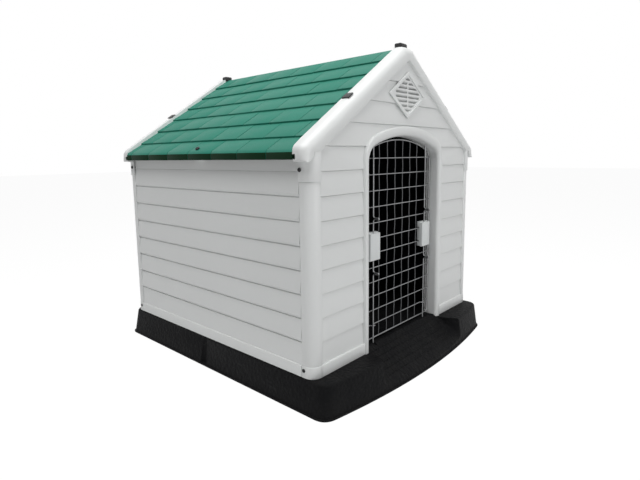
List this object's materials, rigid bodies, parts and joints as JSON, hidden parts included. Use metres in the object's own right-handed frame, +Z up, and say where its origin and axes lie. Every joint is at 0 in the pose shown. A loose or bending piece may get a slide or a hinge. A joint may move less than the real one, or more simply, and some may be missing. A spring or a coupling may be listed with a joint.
{
  "type": "dog house",
  "caption": "Plastic dog house with lap-sided walls, a shingled gable roof, a black floor tray with an entry ramp, and an arched wire door on squeeze latches.",
  "frame": {"origin": "on the ground under the middle of the floor tray", "axes": "+Z up; the door faces -Y; +X is to the right of somebody facing the front of the house"},
  "size_m": [0.906, 0.984, 0.9584],
  "materials": {
    "wall_plastic": "satin, off-white, fine moulded grain",
    "roof_plastic": "satin, green, moulded shingle courses",
    "tray_plastic": "matt black, dimpled grain",
    "clip_plastic": "satin black",
    "bolt_plastic": "satin black",
    "latch_plastic": "satin, light grey",
    "door_wire": "drawn and galvanised wire",
    "spring_steel": "bright spring wire"
  },
  "bodies": {
    "house": {"floor_tray": "tray_plastic", "front_wall": "wall_plastic", "rear_wall": "wall_plastic", "left_wall": "wall_plastic", "right_wall": "wall_plastic", "roof_left": "roof_plastic", "roof_right": "roof_plastic", "front_vent": "wall_plastic", "rear_vent": "wall_plastic", "clip_front_ridge": "clip_plastic", "clip_front_left": "clip_plastic", "clip_front_right": "clip_plastic", "clip_rear_ridge": "clip_plastic", "clip_rear_left": "clip_plastic", "clip_rear_right": "clip_plastic", "bolt_left_front_lower": "bolt_plastic", "bolt_left_front_upper": "bolt_plastic", "bolt_left_rear_lower": "bolt_plastic", "bolt_left_rear_upper": "bolt_plastic", "bolt_right_front_lower": "bolt_plastic", "bolt_right_front_upper": "bolt_plastic", "bolt_right_rear_lower": "bolt_plastic", "bolt_right_rear_upper": "bolt_plastic", "bolt_eave_left": "bolt_plastic", "bolt_eave_right": "bolt_plastic"},
    "door": {"door_grid": "door_wire", "left_latch_cover": "latch_plastic", "left_latch_body": "latch_plastic", "left_latch_spring": "spring_steel", "right_latch_cover": "latch_plastic", "right_latch_body": "latch_plastic", "right_latch_spring": "spring_steel"},
    "left_upper_latch": {"left_upper_rod": "door_wire"},
    "left_lower_latch": {"left_lower_rod": "door_wire"},
    "right_upper_latch": {"right_upper_rod": "door_wire"},
    "right_lower_latch": {"right_lower_rod": "door_wire"}
  },
  "joints": [
    {"name": "door_swing", "type": "hinge", "parent": "house", "child": "door", "pos_m": [0.143, -0.3825, 0.38], "axis": [0, 0, 1], "range_deg": [0, 110]},
    {"name": "left_upper_slide", "type": "slide", "parent": "door", "child": "left_upper_latch", "axis": [0, 0, -1], "range_m": [0, 0.014], "stiffness_N_per_m": 400, "springref_m": -0.01, "deforming": ["left_latch_spring"]},
    {"name": "left_lower_slide", "type": "slide", "parent": "door", "child": "left_lower_latch", "axis": [0, 0, 1], "range_m": [0, 0.014], "stiffness_N_per_m": 400, "springref_m": -0.01, "deforming": ["left_latch_spring"]},
    {"name": "right_upper_slide", "type": "slide", "parent": "door", "child": "right_upper_latch", "axis": [0, 0, -1], "range_m": [0, 0.014], "stiffness_N_per_m": 400, "springref_m": -0.01, "deforming": ["right_latch_spring"]},
    {"name": "right_lower_slide", "type": "slide", "parent": "door", "child": "right_lower_latch", "axis": [0, 0, 1], "range_m": [0, 0.014], "stiffness_N_per_m": 400, "springref_m": -0.01, "deforming": ["right_latch_spring"]}
  ],
  "couplings": [
    {"joint": "left_lower_slide", "follows": "left_upper_slide", "ratio": 1},
    {"joint": "right_lower_slide", "follows": "right_upper_slide", "ratio": 1}
  ]
}
